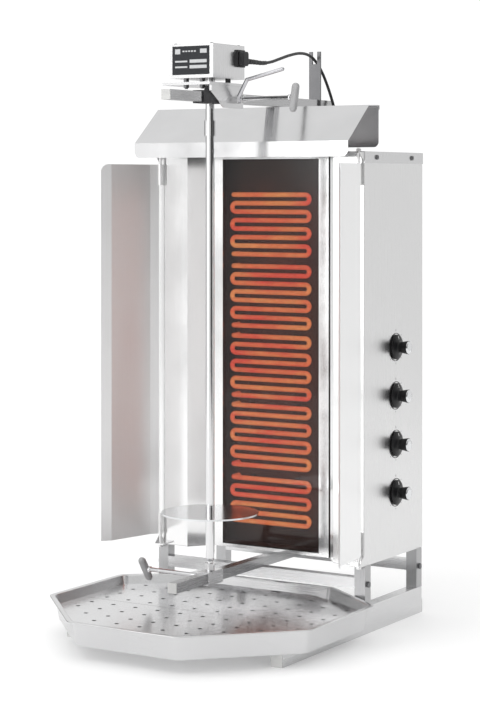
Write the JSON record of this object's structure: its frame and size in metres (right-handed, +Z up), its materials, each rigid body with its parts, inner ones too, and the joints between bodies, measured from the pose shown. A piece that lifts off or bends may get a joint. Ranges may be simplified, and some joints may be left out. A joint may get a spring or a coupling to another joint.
{
  "type": "vertical rotisserie broiler",
  "caption": "Upright electric grill with a turning meat spit, glass-fronted heating wall, folding side wings, hood and octagonal drip tray.",
  "frame": {"origin": "on the floor in the middle of the broiler's footprint", "axes": "+Z up, -Y towards the front and the user, +X towards the control side"},
  "size_m": [0.554, 0.688, 1.078],
  "materials": {
    "brushed_stainless": "fine brushed stainless steel",
    "polished_stainless": "bright polished stainless steel",
    "dark_steel": "dark satin coating",
    "zinc_steel": "zinc plated",
    "black_plastic": "semi-gloss black plastic",
    "black_nylon": "matt black nylon",
    "white_plastic": "matt white plastic",
    "grey_plastic": "matt mid-grey plastic",
    "black_ceramic_glass": "smooth black ceramic glass",
    "fibre_board": "rough pressed mineral fibre",
    "glowing_tube": "red-hot sheathed heating tube",
    "dark_label": "printed dark rating plate",
    "black_rubber": "matt black rubber"
  },
  "bodies": {
    "frame": {"skids": "brushed_stainless", "rails": "brushed_stainless", "legs": "brushed_stainless", "crossbars": "brushed_stainless", "end_plugs": "white_plastic", "frame_bolts": "zinc_steel", "bottom_plate": "brushed_stainless", "left_side_panel": "brushed_stainless", "right_side_panel": "brushed_stainless", "left_column": "brushed_stainless", "right_column": "brushed_stainless", "back_panel": "brushed_stainless", "top_cover": "brushed_stainless", "cover_screws": "zinc_steel", "cable_glands": "black_nylon", "glass_frame": "polished_stainless", "ceramic_glass": "black_ceramic_glass", "reflector_pan": "polished_stainless", "insulation": "fibre_board", "element_clips": "brushed_stainless", "heating_element_1": "glowing_tube", "heating_element_2": "glowing_tube", "heating_element_3": "glowing_tube", "heating_element_4": "glowing_tube", "heating_element_5": "glowing_tube", "terminal_block": "white_plastic", "regulators": "grey_plastic", "hood": "polished_stainless", "hood_back": "polished_stainless", "upper_arm": "brushed_stainless", "lower_arm": "brushed_stainless", "mast": "brushed_stainless", "motor_lead": "black_rubber"},
    "upper_carriage": {"carriage_sleeve": "dark_steel", "carriage_plate": "brushed_stainless", "shaft_bearing": "dark_steel", "motor_screws": "zinc_steel", "motor_housing": "brushed_stainless", "motor_lid": "brushed_stainless", "gear_motor": "dark_steel", "label_plate": "dark_label", "power_inlet": "black_plastic", "motor_plug": "black_rubber"},
    "spit": {"spit_rod": "brushed_stainless", "drive_shaft": "brushed_stainless", "meat_disc": "polished_stainless"},
    "lower_carriage": {"lower_carriage": "zinc_steel"},
    "upper_clamp": {"upper_clamp": "grey_plastic"},
    "lower_clamp": {"lower_clamp": "grey_plastic"},
    "release_lever": {"release_lever": "zinc_steel"},
    "left_wing": {"left_wing": "polished_stainless"},
    "right_wing": {"right_wing": "polished_stainless"},
    "drip_tray": {"drip_tray": "brushed_stainless"},
    "front_grid": {"front_grid": "brushed_stainless"},
    "rear_grid": {"rear_grid": "brushed_stainless"},
    "knob_1": {"knob_1": "black_plastic"},
    "knob_2": {"knob_2": "black_plastic"},
    "knob_3": {"knob_3": "black_plastic"},
    "knob_4": {"knob_4": "black_plastic"}
  },
  "joints": [
    {"name": "upper_slide", "type": "slide", "parent": "frame", "child": "upper_carriage", "axis": [0, 1, 0], "range_m": [-0.09, 0.05], "deforming": ["motor_lead"]},
    {"name": "lower_slide", "type": "slide", "parent": "frame", "child": "lower_carriage", "axis": [0, 1, 0], "range_m": [-0.09, 0.05]},
    {"name": "spit_spin", "type": "hinge", "parent": "upper_carriage", "child": "spit", "pos_m": [0, -0.062, 0.5], "axis": [0, 0, 1], "continuous": true},
    {"name": "left_wing_hinge", "type": "hinge", "parent": "frame", "child": "left_wing", "pos_m": [-0.217, 0.1, 0.5], "axis": [0, 0, -1], "range_deg": [-100, 50]},
    {"name": "right_wing_hinge", "type": "hinge", "parent": "frame", "child": "right_wing", "pos_m": [0.217, 0.1, 0.5], "axis": [0, 0, 1], "range_deg": [-100, 50]},
    {"name": "upper_clamp_turn", "type": "hinge", "parent": "upper_carriage", "child": "upper_clamp", "pos_m": [0.1, -0.017, 0.975], "axis": [1, 0, 0], "range_deg": [-180, 180]},
    {"name": "lower_clamp_turn", "type": "hinge", "parent": "lower_carriage", "child": "lower_clamp", "pos_m": [-0.1, -0.062, 0.111], "axis": [1, 0, 0], "range_deg": [-180, 180]},
    {"name": "lever_turn", "type": "hinge", "parent": "upper_carriage", "child": "release_lever", "pos_m": [0.042, -0.037, 0.972], "axis": [0, 1, 0], "range_deg": [-10, 8]},
    {"name": "tray_slide", "type": "slide", "parent": "frame", "child": "drip_tray", "axis": [0, -1, 0], "range_m": [0, 0.45]},
    {"name": "front_grid_lift", "type": "slide", "parent": "drip_tray", "child": "front_grid", "axis": [0, 0, 1], "range_m": [0, 0.028]},
    {"name": "rear_grid_lift", "type": "slide", "parent": "drip_tray", "child": "rear_grid", "axis": [0, 0, 1], "range_m": [0, 0.028]},
    {"name": "knob_1_turn", "type": "hinge", "parent": "frame", "child": "knob_1", "pos_m": [0.2265, 0.233, 0.515], "axis": [1, 0, 0], "range_deg": [0, 270]},
    {"name": "knob_2_turn", "type": "hinge", "parent": "frame", "child": "knob_2", "pos_m": [0.2265, 0.233, 0.4243], "axis": [1, 0, 0], "range_deg": [0, 270]},
    {"name": "knob_3_turn", "type": "hinge", "parent": "frame", "child": "knob_3", "pos_m": [0.2265, 0.233, 0.3336], "axis": [1, 0, 0], "range_deg": [0, 270]},
    {"name": "knob_4_turn", "type": "hinge", "parent": "frame", "child": "knob_4", "pos_m": [0.2265, 0.233, 0.2429], "axis": [1, 0, 0], "range_deg": [0, 270]}
  ],
  "couplings": [
    {"joint": "lower_slide", "follows": "upper_slide", "ratio": 1}
  ]
}
